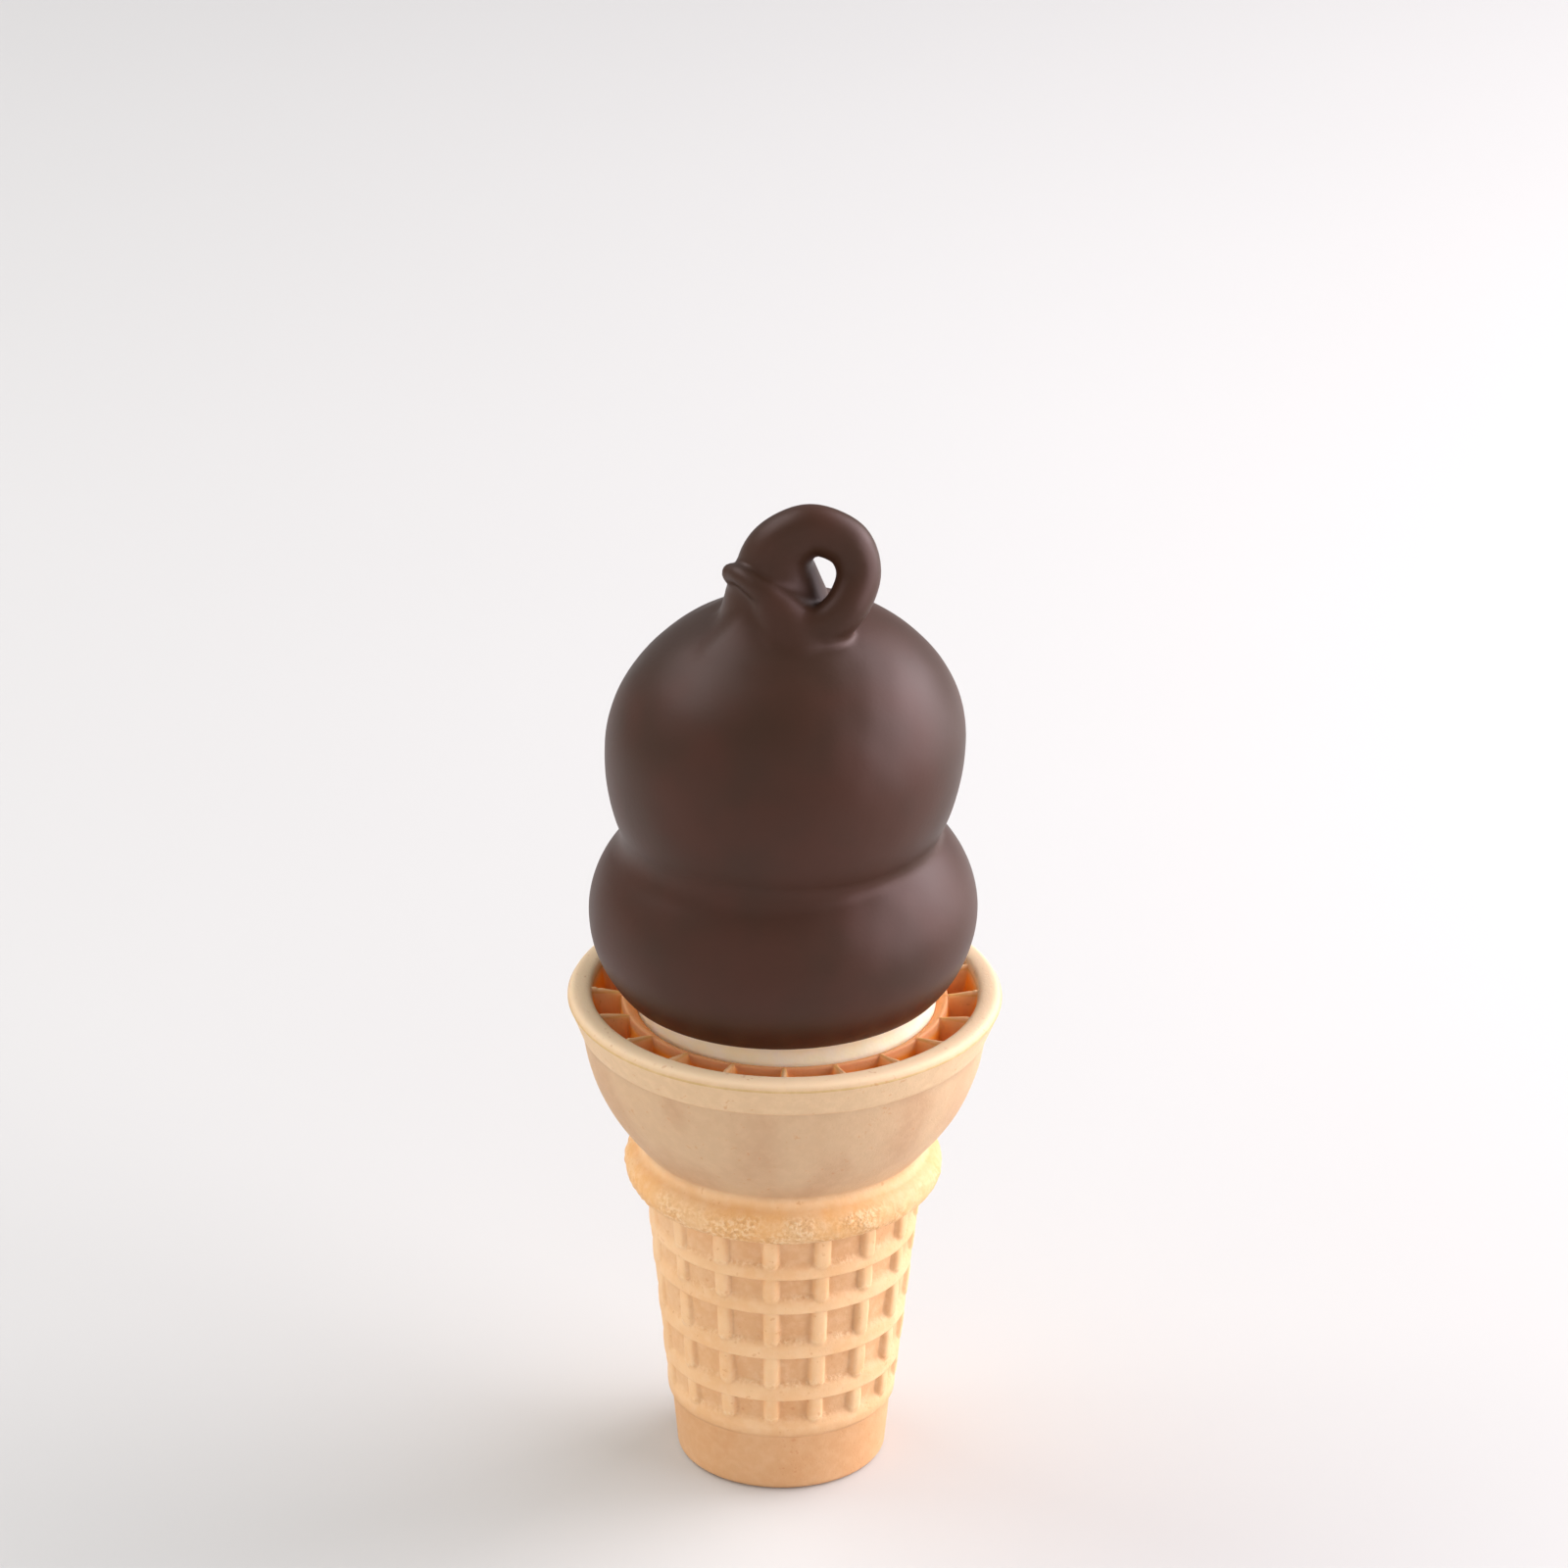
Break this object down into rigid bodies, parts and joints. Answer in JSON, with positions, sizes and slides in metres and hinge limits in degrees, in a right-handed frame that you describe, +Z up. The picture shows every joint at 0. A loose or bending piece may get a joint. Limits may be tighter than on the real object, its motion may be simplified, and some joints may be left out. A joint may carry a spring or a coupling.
{
  "type": "ice cream cone",
  "caption": "Flat-bottomed moulded wafer cup filled with vanilla soft serve in two round lobes, under a smooth chocolate coat with a curled tip.",
  "frame": {"origin": "centre of the flat base of the cup, which stands on z = 0", "axes": "+Z up along the cup's axis; -Y is the side that shows the open loop of the curl; +X to its right"},
  "size_m": [0.066, 0.066, 0.1593],
  "materials": {
    "wafer": "matte, fine baked pores",
    "vanilla": "soft matte, slightly moist",
    "chocolate": "satin"
  },
  "bodies": {
    "root": {"cone": "wafer", "ice_cream": "vanilla", "chocolate_coat": "chocolate"}
  },
  "joints": []
}
